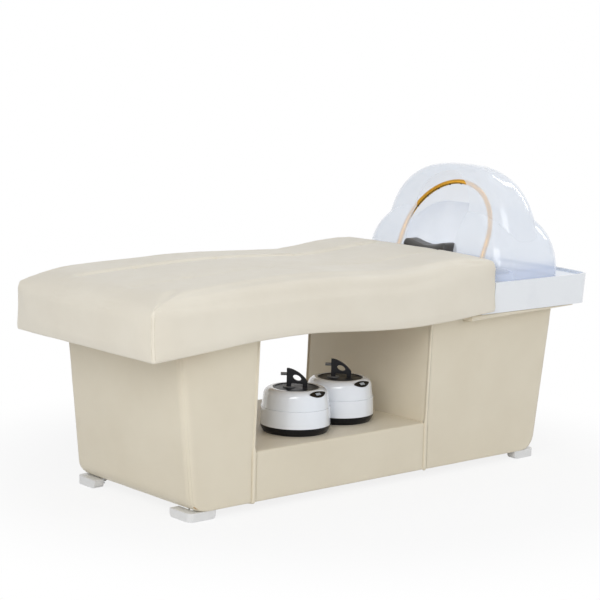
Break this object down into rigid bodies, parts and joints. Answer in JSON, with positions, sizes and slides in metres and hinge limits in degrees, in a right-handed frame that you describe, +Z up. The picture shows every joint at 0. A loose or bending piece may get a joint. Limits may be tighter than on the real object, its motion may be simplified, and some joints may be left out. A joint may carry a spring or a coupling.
{
  "type": "hair washing bed",
  "caption": "Salon washing bed: wavy padded bed on an upholstered base with an open bay, a head basin with water ring and clear steam hood, and herbal steamers.",
  "frame": {"origin": "on the floor, under the middle of the bed's length and width", "axes": "+X towards the basin and hood, +Z up; -Y is the side that the steamers slide out of"},
  "size_m": [1.8999, 0.725, 0.9934],
  "materials": {
    "mattress_cover": "cream synthetic leather, fine grain, satin",
    "base_upholstery": "cream synthetic leather, fine grain, satin",
    "plywood": "sawn birch plywood",
    "softwood": "planed softwood",
    "zinc_steel": "zinc plated",
    "polished_steel": "polished stainless steel",
    "white_plastic": "moulded, semi-gloss",
    "white_basin": "moulded, gloss",
    "drain_plastic": "moulded polypropylene",
    "grey_plastic": "moulded, semi-gloss",
    "black_plastic": "moulded, satin",
    "pump_plastic": "glass-filled plastic, matte",
    "black_rubber": "moulded rubber",
    "hose_rubber": "smooth silicone hose",
    "neck_rubber": "soft polyurethane, satin",
    "nozzle_rubber": "silicone",
    "gold_tube": "polished, gold plated",
    "clear_acrylic": "clear, polished",
    "clear_seal": "soft translucent silicone",
    "cast_aluminium": "cast, machined top",
    "white_shell": "moulded, gloss",
    "black_gloss": "moulded, gloss",
    "display_face": "display window, unlit"
  },
  "bodies": {
    "bed": {"basin": "white_basin", "basin_apron": "base_upholstery", "board_bolts": "zinc_steel", "bottle_trap": "drain_plastic", "cable_gland": "black_plastic", "circulation_pump": "pump_plastic", "corner_foot_1": "white_plastic", "corner_foot_2": "white_plastic", "corner_foot_3": "white_plastic", "corner_foot_4": "white_plastic", "drain_flange": "polished_steel", "foot_batten": "softwood", "foot_cover": "base_upholstery", "foot_frame": "plywood", "foot_screws": "zinc_steel", "head_batten": "softwood", "head_cover": "base_upholstery", "head_frame": "plywood", "mattress": "mattress_cover", "mattress_board": "plywood", "neck_rest": "neck_rubber", "neck_support": "grey_plastic", "pressure_hose": "hose_rubber", "pump_cradle": "black_rubber", "ring_bracket_far": "grey_plastic", "ring_bracket_near": "grey_plastic", "service_board": "plywood", "suction_hose": "hose_rubber", "tailpipe": "drain_plastic", "tray_cover": "base_upholstery", "tray_frame": "plywood", "waste_pipe": "drain_plastic"},
    "water_ring": {"ring_knobs": "grey_plastic", "ring_pipe": "gold_tube", "spray_nozzles": "nozzle_rubber"},
    "hood": {"hood_seal": "clear_seal", "hood_shell": "clear_acrylic"},
    "drain_strainer": {"drain_strainer": "polished_steel"},
    "steamer_1": {"steamer_1_base": "black_plastic", "steamer_1_display": "display_face", "steamer_1_heating_plate": "cast_aluminium", "steamer_1_kettle": "polished_steel", "steamer_1_lower_shell": "white_shell", "steamer_1_panel": "black_gloss", "steamer_1_upper_shell": "white_shell"},
    "steamer_1_lid": {"steamer_1_gasket": "clear_seal", "steamer_1_handle": "black_plastic", "steamer_1_lid": "black_plastic", "steamer_1_steam_outlet": "grey_plastic"},
    "steamer_2": {"steamer_2_base": "black_plastic", "steamer_2_display": "display_face", "steamer_2_heating_plate": "cast_aluminium", "steamer_2_kettle": "polished_steel", "steamer_2_lower_shell": "white_shell", "steamer_2_panel": "black_gloss", "steamer_2_upper_shell": "white_shell"},
    "steamer_2_lid": {"steamer_2_gasket": "clear_seal", "steamer_2_handle": "black_plastic", "steamer_2_lid": "black_plastic", "steamer_2_steam_outlet": "grey_plastic"}
  },
  "joints": [
    {"name": "water_ring_tilt", "type": "hinge", "parent": "bed", "child": "water_ring", "pos_m": [0.518, 0, 0.672], "axis": [0, 1, 0], "range_deg": [-10, 14]},
    {"name": "hood_lift", "type": "slide", "parent": "bed", "child": "hood", "axis": [0, 0, 1], "range_m": [0, 0.35]},
    {"name": "strainer_lift", "type": "slide", "parent": "bed", "child": "drain_strainer", "axis": [0, 0, 1], "range_m": [0, 0.06]},
    {"name": "steamer_1_slide", "type": "slide", "parent": "bed", "child": "steamer_1", "axis": [0, -1, 0], "range_m": [0, 0.45]},
    {"name": "steamer_1_lid_lift", "type": "slide", "parent": "steamer_1", "child": "steamer_1_lid", "axis": [0, 0, 1], "range_m": [0, 0.06]},
    {"name": "steamer_2_slide", "type": "slide", "parent": "bed", "child": "steamer_2", "axis": [0, -1, 0], "range_m": [0, 0.45]},
    {"name": "steamer_2_lid_lift", "type": "slide", "parent": "steamer_2", "child": "steamer_2_lid", "axis": [0, 0, 1], "range_m": [0, 0.06]}
  ]
}
